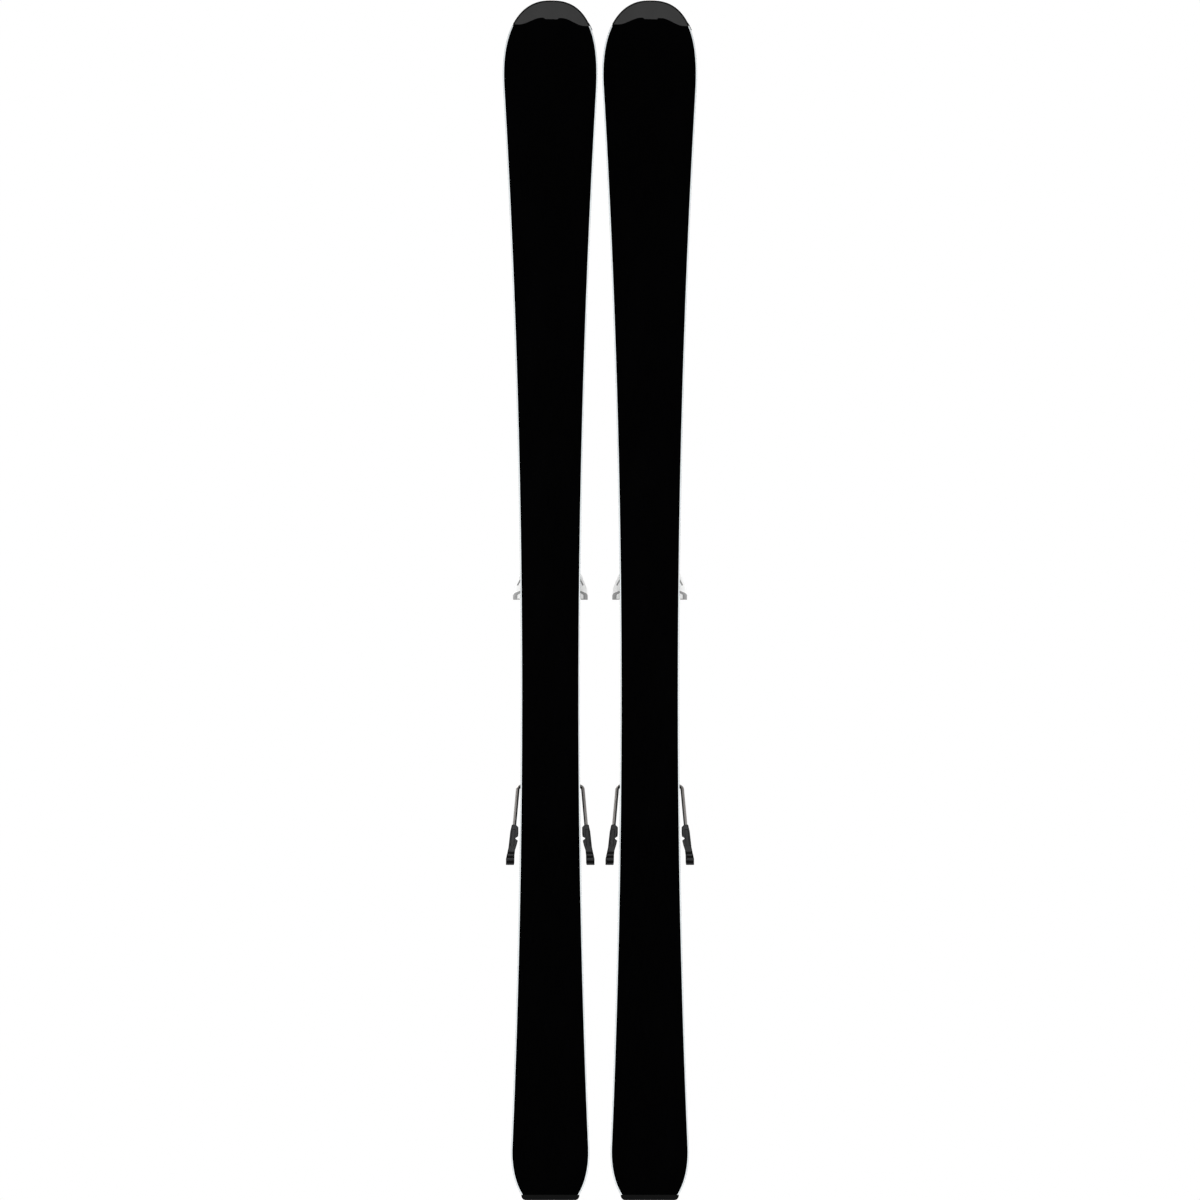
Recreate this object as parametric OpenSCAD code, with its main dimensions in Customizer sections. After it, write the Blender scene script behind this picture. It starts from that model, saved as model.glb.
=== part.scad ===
// A pair of alpine skis with step-in bindings and deployed brakes.
// +X points to the tips, +Y to the left ski, +Z up. The pair stands on its brake pads at z = 0.

/* [Pair] */
// Distance between the two skis' centre lines
pair_spacing = 125; // [120:1:200]

/* [Ski] */
// Overall length, measured straight from tail to tip
ski_len = 1510; // [1400:5:1650]
// Width at the waist, over the steel edges
waist_w = 74; // [68:0.5:80]
// Sidecut radius
sidecut_r = 13200; // [12500:100:15000]
// Place of the waist, forward of mid length
waist_x = -122; // [-160:1:-90]
// Where the rounded nose starts on the left side
left_nose_x = 632.5; // [620:0.5:650]
// Roundness of the nose on the left side, 2 for an ellipse
left_nose_power = 2.5; // [2.2:0.02:2.9]
// Where the rounded nose starts on the right side
right_nose_x = 642.5; // [620:0.5:650]
// Roundness of the nose on the right side, 2 for an ellipse
right_nose_power = 2.24; // [2.2:0.02:2.9]
// Where the tail starts to narrow
tail_x = -687; // [-695:1:-680]
// Thickness under the binding
ski_t = 14; // [13:0.5:15]
// Thickness at the tip
tip_t = 4.5; // [4.5:0.1:6]
// Thickness at the tail
tail_t = 6; // [5:0.1:7]
// Height of the tip above the running surface
tip_rise = 55; // [30:1:70]
// Height of the tail above the running surface
tail_rise = 8; // [4:1:15]
// Width of each steel edge
edge_w = 1.5; // [1.2:0.1:2.4]
// Height of each steel edge
edge_h = 2; // [1.8:0.1:2.4]
// Thickness of the sintered base
base_t = 1.3; // [1:0.1:1.5]

/* [Binding] */
// Boot sole length that the heel is set to
boot_len = 294; // [284:1:300]
// Place of the boot's toe
boot_toe_x = 25; // [23:1:27]
// Height of the boot sole above the running surface
sole_z = 40; // [40:0.5:41]
// Width of the mounting rail
rail_w = 62; // [60:1:66]
// Distance from the ski's centre line to the outside of each toe wing
wing_reach = 46.5; // [44:0.5:48]

/* [Brake] */
// Angle of the deployed arms below the ski
brake_angle = 40; // [38:1:42]
// Length of an arm from its pivot to the end of its pad
arm_len = 124; // [122:1:128]
// Diameter of the spring-steel wire
wire_d = 4.6; // [4:0.1:5]
// Thickness of a pad
pad_t = 12; // [11:0.5:13]

/* [Hidden] */
$fn = 48;
half_len = ski_len / 2;
tail_end_x = tail_x - 84;
tail_power = 2.05;
tail_cut_x = -half_len + 7;
tip_contact_x = 545;
tail_contact_x = -690;
flat_back_x = -360;
flat_front_x = 115;
sheet_t = 1;
side_w = 5;
slack = 0.05;

// Rail: a flanged plate with a T-shaped guide on top
rail_x0 = -346;
rail_x1 = 100;
flange_t = 4;
guide_w = 44;
web_w = 34;
web_h = 2.5;
head_h = 3;
flange_z = ski_t + flange_t;
head_z = flange_z + web_h;
rail_z = head_z + head_h;
screw_x = [82, -48, -150, -325];
screw_y = 26.2;
screw_r = 2.1;
screw_head_r = 3.6;
screw_deep = 10.5;

// Toe piece
lug_c = boot_toe_x - 38;
lug_r = 38.6;
lug_h = 19;
toe_plate_z = rail_z + 4;
wing_pin = [52, 20];
pin_r = 2.5;
wing_z = [40.2, 57.8];
lip_z = sole_z + lug_h + 0.4;
wing_top = 64;
toe_axis_z = 46;
bore_r = 9.5;
plug_r = 8;

// Heel piece
heel_x = boot_toe_x - boot_len;
heel_c = heel_x + 34.5;
heel_lug_h = 30;
carriage_z = rail_z + 5.5;
heel_pin = [heel_x - 49, 36];
lever_pin = [heel_x - 37, 84];
heel_axis_z = 62;

// Brake
brake_pin = [heel_x + 35, 32];
wire_r = wire_d / 2;
bend_r = 6;
leg_y = 16;
arm_y = 41;
leg_x = 44;
splay = 4;
wire_end = 110;
pad_start = 68;
stand_h = arm_len * sin(brake_angle) + pad_t / 2 * cos(brake_angle) - brake_pin[1];

SIDES = ["left", "right"];
PIECES = [
    "base", "steel_edges", "wood_core", "sidewalls", "topsheet", "tip_protector", "tail_protector",
    "rail", "rail_screws", "toe_base", "toe_housing", "toe_wing_left", "toe_wing_right", "toe_pins",
    "toe_spring", "toe_screw", "toe_indicator", "afd_plate", "heel_carriage", "heel_housing",
    "heel_lever", "heel_spring", "heel_screw", "heel_indicator", "heel_pin", "brake_bracket",
    "brake_pedal", "brake_wire", "brake_pad_left", "brake_pad_right"
];

// ---------------------------------------------------------------- the ski's outline and profile

// Taper of the outline over the nose and over the tail, 1 in between. A nose is [start, roundness].
left_nose = [left_nose_x, left_nose_power];
right_nose = [right_nose_x, right_nose_power];
function nose_f(x, nose) = x <= nose[0] ? 1
    : pow(max(0, 1 - pow((x - nose[0]) / (half_len - nose[0]), nose[1])), 1 / nose[1]);
function tail_f(x) = x >= tail_x ? 1
    : pow(max(0, 1 - pow((tail_x - x) / (tail_x - tail_end_x), tail_power)), 1 / tail_power);
function half_w(x, nose) =
    (waist_w / 2 + pow(x - waist_x, 2) / (2 * sidecut_r)) * nose_f(x, nose) * tail_f(x);

// One side of the ski's outline from tail to tip, with points closer together round the ends
function side_path(nose) = [for (x = concat(
        [for (i = [0:9]) tail_x - 78 + 78 * sin(10 * i)],
        [for (i = [1:28]) tail_x + (nose[0] - tail_x) * i / 28],
        [for (i = [1:22]) nose[0] + (half_len - nose[0]) * pow(sin(90 * i / 22), 2 / nose[1])]
    )) [x, half_w(x, nose)]];

// The same side moved inwards by d
function inward(path, i, d) = let (
        a = path[max(i - 1, 0)],
        b = path[min(i + 1, len(path) - 1)],
        t = (b - a) / norm(b - a)
    ) path[i] + d * [t[1], -t[0]];
function inset_side(path, d) = [for (i = [0:len(path) - 2]) inward(path, i, d)];

module outline(d = 0) {
    left = inset_side(side_path(left_nose), d);
    right = inset_side(side_path(right_nose), d);
    n = len(right);
    polygon(concat(left, [[half_len - d, 0]], [for (i = [n - 1:-1:0]) [right[i][0], -right[i][1]]]));
}

// Height of the running surface, and thickness, along the ski
function base_z(x) =
    x > tip_contact_x ? tip_rise * pow((x - tip_contact_x) / (half_len - tip_contact_x), 2)
    : x < tail_contact_x ? tail_rise * pow((tail_contact_x - x) / (half_len + tail_contact_x), 2)
    : 0;
function thick(x) = lookup(x, [
    [-half_len, tail_t], [tail_contact_x, tail_t], [flat_back_x, ski_t],
    [flat_front_x, ski_t], [tip_contact_x, tip_t + 1], [half_len, tip_t]
]);
profile_x = concat(
    [for (i = [0:5]) -half_len - 1 + (tail_contact_x + half_len + 1) * i / 5],
    [flat_back_x, flat_front_x],
    [for (i = [0:20]) tip_contact_x + (half_len + 1 - tip_contact_x) * i / 20]
);

// Everything between two heights, each given as a share of the thickness plus a step
module band(k0, c0, k1, c1) {
    n = len(profile_x);
    lower = [for (x = profile_x) [x, base_z(x) + k0 * thick(x) + c0]];
    upper = [for (i = [n - 1:-1:0]) let (x = profile_x[i]) [x, base_z(x) + k1 * thick(x) + c1]];
    rotate([90, 0, 0]) linear_extrude(200, center = true) polygon(concat(lower, upper));
}

// The ground that the tip protector covers: a crowned edge with a small step at its middle
function smooth(u) = let (v = min(1, max(0, u))) v * v * (3 - 2 * v);
function cap_edge(y) = half_len - 31.6 - 0.0245 * y + 8.8 * (1 - smooth((abs(y) - 10) / 32));
module tip_ground() {
    edge = [for (i = [-13:13]) [cap_edge(5 * i), 5 * i]];
    polygon(concat(edge, [[half_len + 5, 65], [half_len + 5, -65]]));
    translate([cap_edge(0) - 1.3, -11]) square([4, 18.5]);
}
module tail_ground() translate([-half_len, -60]) square([tail_cut_x + half_len, 120]);

module body_outline(d) {
    difference() {
        outline(d);
        tip_ground();
        translate([-half_len - 60, -80]) square([tail_cut_x + half_len + 60, 160]);
    }
}
module tall(z = 100) translate([0, 0, -5]) linear_extrude(z) children();

// ---------------------------------------------------------------- ski layers

module base() color("black") intersection() {
    tall() body_outline(edge_w);
    band(0, 0, 0, base_t);
}

module steel_edges() color("silver") {
    intersection() {
        tall() difference() {
            body_outline(0);
            outline(edge_w);
        }
        band(0, 0, 0, edge_h);
    }
    intersection() {
        tall() difference() {
            body_outline(edge_w - 0.01);
            outline(edge_w + side_w);
        }
        band(0, base_t, 0, edge_h);
    }
}

module screw_holes(r) for (x = screw_x, s = [-1, 1])
    translate([x, s * screw_y, flange_z - screw_deep]) cylinder(r = r, h = screw_deep + 1);

module wood_core() color("burlywood") difference() {
    intersection() {
        tall() body_outline(edge_w + side_w);
        band(0, base_t, 1, -sheet_t);
    }
    screw_holes(screw_r + slack);
}

module sidewalls() color("dimgray") intersection() {
    tall() difference() {
        body_outline(0.4);
        outline(edge_w + side_w);
    }
    band(0, edge_h, 1, -sheet_t);
}

module topsheet() color("whitesmoke") difference() {
    intersection() {
        tall() body_outline(0.4);
        band(1, -sheet_t, 1, 0);
    }
    screw_holes(screw_r + slack);
}

// A thin lip runs back from the protector's left corner, standing just off the edge
module tip_protector() color([0.24, 0.24, 0.24]) {
    intersection() {
        tall() intersection() {
            outline(0);
            tip_ground();
        }
        band(0, 0, 1, 0.5);
    }
    intersection() {
        tall() translate([half_len, 0]) polygon([
            [-26, 46], [-26.3, 47.6], [-32.7, 50.9], [-37.8, 53.1], [-37.9, 52.3], [-33.2, 50.45], [-30, 48]
        ]);
        band(0, 0.6, 1, -0.6);
    }
}

module tail_protector() color("black") intersection() {
    tall() intersection() {
        tail_ground();
        hull() for (s = [-1, 1]) {
            translate([-half_len + 6, s * 30.5]) circle(6);
            translate([-half_len + 12, s * 32]) circle(5);
        }
    }
    band(0, 0, 1, 0.8);
}

// ---------------------------------------------------------------- rail

module bar(x0, x1, y0, y1, z0, z1) translate([x0, y0, z0]) cube([x1 - x0, y1 - y0, z1 - z0]);
module slab(x0, x1, w, z0, z1) bar(x0, x1, -w / 2, w / 2, z0, z1);
module side_shape(w) rotate([90, 0, 0]) linear_extrude(w, center = true) children();

module rail() color("dimgray") difference() {
    union() {
        slab(rail_x0, rail_x1, rail_w, ski_t, flange_z);
        slab(rail_x0, rail_x1, web_w, flange_z, head_z);
        slab(rail_x0, rail_x1, guide_w, head_z, rail_z);
    }
    for (x = screw_x, s = [-1, 1]) translate([x, s * screw_y, 0]) {
        translate([0, 0, ski_t - 1]) cylinder(r = screw_r + slack, h = flange_t + 2);
        translate([0, 0, flange_z - 2]) cylinder(r1 = screw_r + slack, r2 = screw_head_r + slack, h = 2);
    }
    for (i = [0:9]) slab(rail_x0 + 5 + 6 * i, rail_x0 + 8 + 6 * i, 20, rail_z - 1.5, rail_z + 1);
    slab(-190, -60, 24, rail_z - 1.5, rail_z + 1);
}

module rail_screws() color("silver") for (x = screw_x, s = [-1, 1])
    translate([x, s * screw_y, 0]) difference() {
        union() {
            translate([0, 0, flange_z - screw_deep]) cylinder(r = screw_r, h = screw_deep - 1);
            translate([0, 0, flange_z - 2]) cylinder(r1 = screw_r, r2 = screw_head_r, h = 2);
        }
        for (a = [0, 90]) rotate(a) translate([-2.2, -0.5, flange_z - 1.2]) cube([4.4, 1, 2]);
    }

// ---------------------------------------------------------------- toe piece

module toe_base() color("dimgray") difference() {
    union() {
        slab(-30, 98, 58, rail_z, toe_plate_z);
        for (s = [-1, 1]) bar(-30, 98, s * 25.75 - 3.25, s * 25.75 + 3.25, flange_z, rail_z);
        slab(-28, 8, 48, toe_plate_z, sole_z - 4.2);
    }
    slab(-14, -6, 60, sole_z - 7.2, sole_z);
    for (s = [-1, 1]) translate([wing_pin[0], s * wing_pin[1], toe_plate_z - 2])
        cylinder(r = pin_r + slack, h = 5);
    slab(-32, 30, 24, rail_z - 1, rail_z + 2.2);
}

module afd_plate() color("lightgray") {
    slab(-27, 7, 42, sole_z - 4, sole_z);
    slab(-13.8, -6.2, 38, sole_z - 7, sole_z - 4);
}

// Side and plan outlines of the toe housing
toe_side = [
    [31, toe_plate_z], [99, toe_plate_z], [101, 38], [99, 50], [92, 59], [78, 64.5], [56, 66.5],
    [38, 65.5], [31, 62]
];
toe_plan = [
    [31, -26], [48, -29], [64, -29], [84, -25], [95, -17], [101, -7],
    [101, 7], [95, 17], [84, 25], [64, 29], [48, 29], [31, 26]
];

module toe_housing() color("white") difference() {
    intersection() {
        side_shape(60) polygon(toe_side);
        tall() polygon(toe_plan);
    }
    for (s = [-1, 1]) bar(20, 68, s * 26.6 - 15, s * 26.6 + 15, wing_z[0] - 0.4, wing_z[1] + 0.4);
    translate([38, 0, toe_axis_z]) rotate([0, 90, 0]) cylinder(r = bore_r, h = 50);
    translate([80, 0, toe_axis_z]) rotate([0, 90, 0]) cylinder(r = plug_r + slack, h = 30);
    for (s = [-1, 1]) translate([wing_pin[0], s * wing_pin[1], toe_plate_z - 1])
        cylinder(r = pin_r + slack, h = 34.5);
    slab(62, 82, 6.4, 58, 70);
}

module toe_pins() color("silver") for (s = [-1, 1])
    translate([wing_pin[0], s * wing_pin[1], toe_plate_z - 2]) cylinder(r = pin_r, h = 35.2);

// Plan of the left wing, from its pivot boss back to the tip that grips the boot
wing_plan = [
    [52, 28], [40, 34.5], [27, 41], [14, wing_reach - 0.4], [6, wing_reach], [2, 45.4], [0.8, 43],
    [0.8, 33], [16, 26], [30, 18], [44, 12.5], [52, 12]
];
module lug_cut(r, z0, z1) translate([lug_c, 0, z0]) cylinder(r = r, h = z1 - z0);

module toe_wing() color("white") difference() {
    union() {
        translate([wing_pin[0], wing_pin[1], wing_z[0]]) cylinder(r = 8, h = wing_z[1] - wing_z[0]);
        translate([0, 0, wing_z[0]]) linear_extrude(wing_z[1] - wing_z[0]) polygon(wing_plan);
        translate([0, 0, wing_z[0]]) linear_extrude(wing_top - wing_z[0]) intersection() {
            polygon(wing_plan);
            square([27, 60]);
        }
    }
    lug_cut(lug_r, 0, lip_z);
    lug_cut(lug_r - 7, 0, 90);
    translate([wing_pin[0], wing_pin[1], 0]) cylinder(r = pin_r + slack, h = 90);
}
module toe_wing_left() toe_wing();
module toe_wing_right() mirror([0, 1, 0]) toe_wing();

// A slotted plug that presses on the release spring
module plug(len) difference() {
    rotate([0, 90, 0]) cylinder(r = plug_r, h = len);
    translate([len - 2.5, -6, -0.9]) cube([4, 12, 1.8]);
}
module toe_screw() color("gray") translate([89, 0, toe_axis_z]) plug(12.5);
module toe_indicator() color("orangered") slab(63, 67, 5.8, 58.3, 64);

// A coil spring along X, closed into one solid
module coil(len, mean_r, r, turns) {
    per = 14;
    n = turns * per;
    sides = 6;
    rings = [for (i = [0:n], j = [0:sides - 1]) let (
            a = 360 * i / per,
            b = 360 * j / sides,
            q = mean_r + r * cos(b)
        ) [r + (len - 2 * r) * i / n + r * sin(b), q * cos(a), q * sin(a)]];
    walls = [for (i = [0:n - 1], j = [0:sides - 1]) let (
            k = (j + 1) % sides
        ) [i * sides + j, i * sides + k, (i + 1) * sides + k, (i + 1) * sides + j]];
    ends = [[for (j = [sides - 1:-1:0]) j], [for (j = [0:sides - 1]) n * sides + j]];
    polyhedron(rings, concat(walls, ends), convexity = 10);
}
module toe_spring() color("silver") translate([38.5, 0, toe_axis_z]) coil(50, 7.4, 1.5, 7);

// ---------------------------------------------------------------- heel piece

carriage_x = [heel_x - 84, heel_x + 62];
module ear(s) translate([heel_pin[0], s * 23.6, 0]) side_shape(6.4) {
    translate([0, heel_pin[1]]) circle(7.6);
    translate([-7.6, carriage_z - 1]) square([15.2, heel_pin[1] - carriage_z + 1]);
}
module heel_carriage() color("dimgray") difference() {
    union() {
        slab(carriage_x[0], carriage_x[1], 56, rail_z + 0.3, carriage_z);
        for (s = [-1, 1]) {
            bar(carriage_x[0], carriage_x[1], s * 25.2 - 2.8, s * 25.2 + 2.8, flange_z + 0.4, rail_z + 0.3);
            bar(carriage_x[0], carriage_x[1], s * 20.4 - 2.8, s * 20.4 + 2.8, flange_z + 0.4, head_z - 0.3);
            ear(s);
        }
    }
    translate([heel_pin[0], 0, heel_pin[1]]) rotate([90, 0, 0]) cylinder(r = 3 + slack, h = 70, center = true);
}

// Side outline of the heel housing, with its underside cut back so that it can tip open
heel_side = [
    [5, 33.5], [5, 39.8], [-2, 41.5], [-2, 79], [-11, 88], [-27, 91], [-49, 91], [-64, 84], [-77, 71],
    [-80, 60], [-77, 52], [-69, 46], [-60, 39.5], [-54.2, 32.4], [-46, 29.8], [-40, 32]
];
module heel_shape(w) side_shape(w) translate([heel_x, 0]) polygon(heel_side);

module heel_housing() color("white") difference() {
    union() {
        intersection() {
            heel_shape(39.4);
            slab(heel_x - 90, heel_x + 10, 60, 0, 47);
        }
        intersection() {
            heel_shape(54);
            slab(heel_x - 90, heel_x + 10, 60, 46.5, 100);
        }
        intersection() {
            slab(heel_x - 24, heel_x + 12, 66, 46.5, 78);
            translate([heel_x - 24, -33, 0]) tall() polygon([
                [0, 6], [8, 0], [36, 0], [36, 66], [8, 66], [0, 60]
            ]);
        }
    }
    translate([heel_c, 0, sole_z]) cylinder(r = 35.5, h = heel_lug_h + 0.5);
    translate([heel_c, 0, sole_z]) cylinder(r = 28, h = 60);
    slab(heel_x - 90, heel_x - 19, 34, 77.5, 100);
    translate([heel_x - 71, 0, heel_axis_z]) rotate([0, 90, 0]) cylinder(r = bore_r, h = 57);
    translate([heel_x - 90, 0, heel_axis_z]) rotate([0, 90, 0]) cylinder(r = plug_r + slack, h = 25);
    translate([heel_pin[0], 0, heel_pin[1]]) rotate([90, 0, 0]) cylinder(r = 3 + slack, h = 60, center = true);
    translate([lever_pin[0], 0, lever_pin[1]]) rotate([90, 0, 0])
        cylinder(r = pin_r + slack, h = 60, center = true);
    bar(heel_x - 66, heel_x - 46, 22, 30, heel_axis_z - 3.1, heel_axis_z + 3.1);
}

module heel_pin() color("silver") translate([heel_pin[0], 0, heel_pin[1]])
    rotate([90, 0, 0]) cylinder(r = 3, h = 53.6, center = true);

lever_side = [
    [5, 2], [4, 6], [-14, 19], [-40, 34], [-48, 35], [-51, 31], [-40, 24], [-20, 10], [-6, -1], [0, -6]
];
module heel_lever() color([0.2, 0.2, 0.2]) translate([lever_pin[0], 0, lever_pin[1]]) {
    difference() {
        side_shape(33) {
            polygon(lever_side);
            circle(6);
        }
        translate([-40, 0, 28]) cylinder(r = 6, h = 20);
    }
    rotate([90, 0, 0]) cylinder(r = pin_r, h = 53, center = true);
}

module heel_spring() color("silver") translate([heel_x - 70.5, 0, heel_axis_z]) coil(56, 7.4, 1.5, 8);
module heel_screw() color("gray") translate([heel_x - 71.5, 0, heel_axis_z]) mirror([1, 0, 0]) plug(9.5);
module heel_indicator() color("orangered")
    bar(heel_x - 65, heel_x - 61, 22.3, 26.8, heel_axis_z - 2.8, heel_axis_z + 2.8);

// ---------------------------------------------------------------- brake

module brake_bracket() color("dimgray") difference() {
    translate([brake_pin[0], 0, 0]) {
        for (s = [-1, 1]) bar(-9, 9, s * 25 - 3, s * 25 + 3, carriage_z, 38);
        slab(-18, -8, 56, carriage_z, 34);
    }
    translate([brake_pin[0], 0, brake_pin[1]]) rotate([90, 0, 0])
        cylinder(r = wire_r + 0.08, h = 70, center = true);
}

// Places a piece drawn with the brake folded flat, pivot at the origin, into the deployed position
module deployed() translate([brake_pin[0], 0, brake_pin[1]]) rotate([0, -brake_angle, 0]) children();

module rod(p, a, len, r) translate([p[0], p[1], 0]) rotate([0, 0, a]) rotate([0, 90, 0]) cylinder(r = r, h = len);
// A bend about c, and a straight run of wire that follows it
module bend_run(c, a, turn, len) translate([c[0], c[1], 0]) rotate([0, 0, a]) {
    rotate_extrude(angle = turn) translate([bend_r, 0]) circle(wire_r);
    if (len > 0) rotate([0, 0, turn]) translate([bend_r, 0, 0]) rotate([-90, 0, 0]) cylinder(r = wire_r, h = len);
}

// Half of the wire: half the pedal's crossbar, a leg, the pivot and one splayed arm
module half_wire() {
    rod([leg_x, 0], 90, leg_y - bend_r, wire_r);
    bend_run([leg_x - bend_r, leg_y - bend_r], 0, 90, leg_x - 2 * bend_r);
    bend_run([bend_r, leg_y + bend_r], 180, 90, 0);
    rod([0, leg_y + bend_r], 90, arm_y - leg_y - 2 * bend_r, wire_r);
    bend_run([-bend_r, arm_y - bend_r], 0, 90 - splay, wire_end);
}
module brake_wire() color("silver") deployed() {
    half_wire();
    mirror([0, 1, 0]) half_wire();
}

module brake_pedal() color("gray") deployed() difference() {
    union() {
        slab(3, 52, 43, wire_r + 0.2, wire_r + 5.2);
        slab(38.5, 49.5, 18, -0.8, wire_r + 0.4);
    }
    rotate([90, 0, 0]) translate([leg_x, 0, 0]) cylinder(r = wire_r + slack, h = 60, center = true);
    for (i = [0:4]) slab(10 + 7 * i, 12 + 7 * i, 36, wire_r + 4.2, wire_r + 9);
}

// Outline of the left pad: distance from the pivot along the arm, then from the centre line
pad_outline = [
    [pad_start, 43.2], [72, 40], [88, 41.2], [90.5, 43.8], [94, 40.3], [106, 43.2], [117, 44.5],
    [arm_len, 45.5], [arm_len, 55.1], [105, 52.5], [79, 50.3], [pad_start, 48.4]
];
module brake_pad() color([0.2, 0.2, 0.2]) deployed() difference() {
    linear_extrude(pad_t, center = true) polygon([for (p = pad_outline) [-p[0], p[1]]]);
    translate([-bend_r, arm_y - bend_r, 0]) rotate([0, 0, 90 - splay]) translate([bend_r, 20, 0])
        rotate([-90, 0, 0]) cylinder(r = wire_r + 0.02, h = wire_end - 20);
    for (i = [0:1], s = [-1, 1])
        bar(-arm_len + 4 + 6 * i, -arm_len + 6.5 + 6 * i, 40, 60, s * pad_t / 2 - 1, s * pad_t / 2 + 1);
}
module brake_pad_left() brake_pad();
module brake_pad_right() mirror([0, 1, 0]) brake_pad();

// ---------------------------------------------------------------- assembly

module show(side, piece) children();

module ski(side) {
    show(side, "base") base();
    show(side, "steel_edges") steel_edges();
    show(side, "wood_core") wood_core();
    show(side, "sidewalls") sidewalls();
    show(side, "topsheet") topsheet();
    show(side, "tip_protector") tip_protector();
    show(side, "tail_protector") tail_protector();
    show(side, "rail") rail();
    show(side, "rail_screws") rail_screws();
    show(side, "toe_base") toe_base();
    show(side, "toe_housing") toe_housing();
    show(side, "toe_wing_left") toe_wing_left();
    show(side, "toe_wing_right") toe_wing_right();
    show(side, "toe_pins") toe_pins();
    show(side, "toe_spring") toe_spring();
    show(side, "toe_screw") toe_screw();
    show(side, "toe_indicator") toe_indicator();
    show(side, "afd_plate") afd_plate();
    show(side, "heel_carriage") heel_carriage();
    show(side, "heel_housing") heel_housing();
    show(side, "heel_lever") heel_lever();
    show(side, "heel_spring") heel_spring();
    show(side, "heel_screw") heel_screw();
    show(side, "heel_indicator") heel_indicator();
    show(side, "heel_pin") heel_pin();
    show(side, "brake_bracket") brake_bracket();
    show(side, "brake_pedal") brake_pedal();
    show(side, "brake_wire") brake_wire();
    show(side, "brake_pad_left") brake_pad_left();
    show(side, "brake_pad_right") brake_pad_right();
}

translate([0, pair_spacing / 2, stand_h]) ski("left");
translate([0, -pair_spacing / 2, stand_h]) ski("right");
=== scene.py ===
"""Looks for a pair of alpine skis with bindings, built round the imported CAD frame."""

import math

import bmesh
import bpy
from mathutils import Matrix, Vector

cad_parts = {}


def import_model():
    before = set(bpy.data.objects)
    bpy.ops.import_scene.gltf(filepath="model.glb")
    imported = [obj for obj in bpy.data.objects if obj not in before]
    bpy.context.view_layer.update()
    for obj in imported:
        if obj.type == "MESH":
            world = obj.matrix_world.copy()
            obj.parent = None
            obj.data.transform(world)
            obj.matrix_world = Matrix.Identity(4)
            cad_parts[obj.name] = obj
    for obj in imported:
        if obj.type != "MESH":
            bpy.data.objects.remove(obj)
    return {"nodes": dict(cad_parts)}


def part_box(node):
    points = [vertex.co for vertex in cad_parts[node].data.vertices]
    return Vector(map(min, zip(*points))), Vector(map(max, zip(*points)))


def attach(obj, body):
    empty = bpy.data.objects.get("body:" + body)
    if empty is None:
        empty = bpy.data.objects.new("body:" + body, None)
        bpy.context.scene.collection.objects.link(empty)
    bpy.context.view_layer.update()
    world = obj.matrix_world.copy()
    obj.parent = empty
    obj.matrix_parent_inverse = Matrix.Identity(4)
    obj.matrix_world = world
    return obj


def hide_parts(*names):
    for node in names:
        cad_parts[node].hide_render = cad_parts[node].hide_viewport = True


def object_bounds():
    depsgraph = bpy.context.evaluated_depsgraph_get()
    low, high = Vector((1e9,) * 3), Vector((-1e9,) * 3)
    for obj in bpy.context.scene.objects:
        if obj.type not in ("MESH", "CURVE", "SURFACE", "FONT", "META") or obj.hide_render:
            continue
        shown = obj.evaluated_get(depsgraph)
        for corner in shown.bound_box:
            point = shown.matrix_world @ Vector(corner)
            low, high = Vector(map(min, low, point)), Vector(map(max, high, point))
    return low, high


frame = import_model()
CAD_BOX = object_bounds()

MM = 0.001
SIDES = ("left", "right")

# ------------------------------------------------------------------ sizes, in millimetres

HALF_LEN = 755.0
WAIST_W, WAIST_X, SIDECUT_R = 74.0, -122.0, 13200.0
LEFT_NOSE, RIGHT_NOSE = (632.5, 2.5), (642.5, 2.24)  # where each side's nose curve starts, and its power
TAIL_X, TAIL_END_X, TAIL_POWER, TAIL_CUT_X = -687.0, -771.0, 2.05, -748.0
TIP_CONTACT_X, TIP_RISE = 545.0, 55.0
TAIL_CONTACT_X, TAIL_RISE = -690.0, 8.0
CAP_BACK, CAP_SKEW, CAP_CROWN, CAP_LUG = 31.6, 0.0245, 9.4, 1.7
EDGE_W, EDGE_H, BASE_T, SHEET_T = 1.5, 2.0, 1.3, 1.0
STRIP_END_X, STRIP_W = 722.4, 6.4
SHEET_FIXED_X, SHEET_COLUMNS = 700.0, 64
THICKNESS = [(-755, 6), (-690, 6), (-360, 14), (115, 14), (545, 5.5), (755, 4.5)]
SOLE_Z = 40.0
HEEL_X = -269.0
LEVER_PIN = (-306.0, 84.0)
BRAKE_PIN = (-234.0, 32.0)
BRAKE_ANGLE = math.radians(40)
WIRE_R, BEND_R = 2.3, 6.0
PEDAL_X, PEDAL_Y, ARM_Y, SPLAY, WIRE_RUN = 44.0, 16.0, 41.0, 4.0, 110.0
PAD_T = 12.0
SPRING_R, SPRING_WIRE_R = 7.4, 1.5


def ski_origin(side):
    """The point under a ski's middle, on its running surface, in metres."""
    low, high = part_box(f"{side}_base")
    return Vector((0, (low.y + high.y) / 2, low.z))


ORIGIN = {side: ski_origin(side) for side in SIDES}


def half_width(x, side=1):
    """Width from the centre line to the ski's left (side 1) or right (side -1) edge at x."""
    start, power = LEFT_NOSE if side > 0 else RIGHT_NOSE
    w = WAIST_W / 2 + (x - WAIST_X) ** 2 / (2 * SIDECUT_R)
    if x > start:
        u = min(1.0, (x - start) / (HALF_LEN - start))
        w *= (1 - u**power) ** (1 / power)
    if x < TAIL_X:
        u = (TAIL_X - x) / (TAIL_X - TAIL_END_X)
        w *= (1 - u**TAIL_POWER) ** (1 / TAIL_POWER)
    return w


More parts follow.
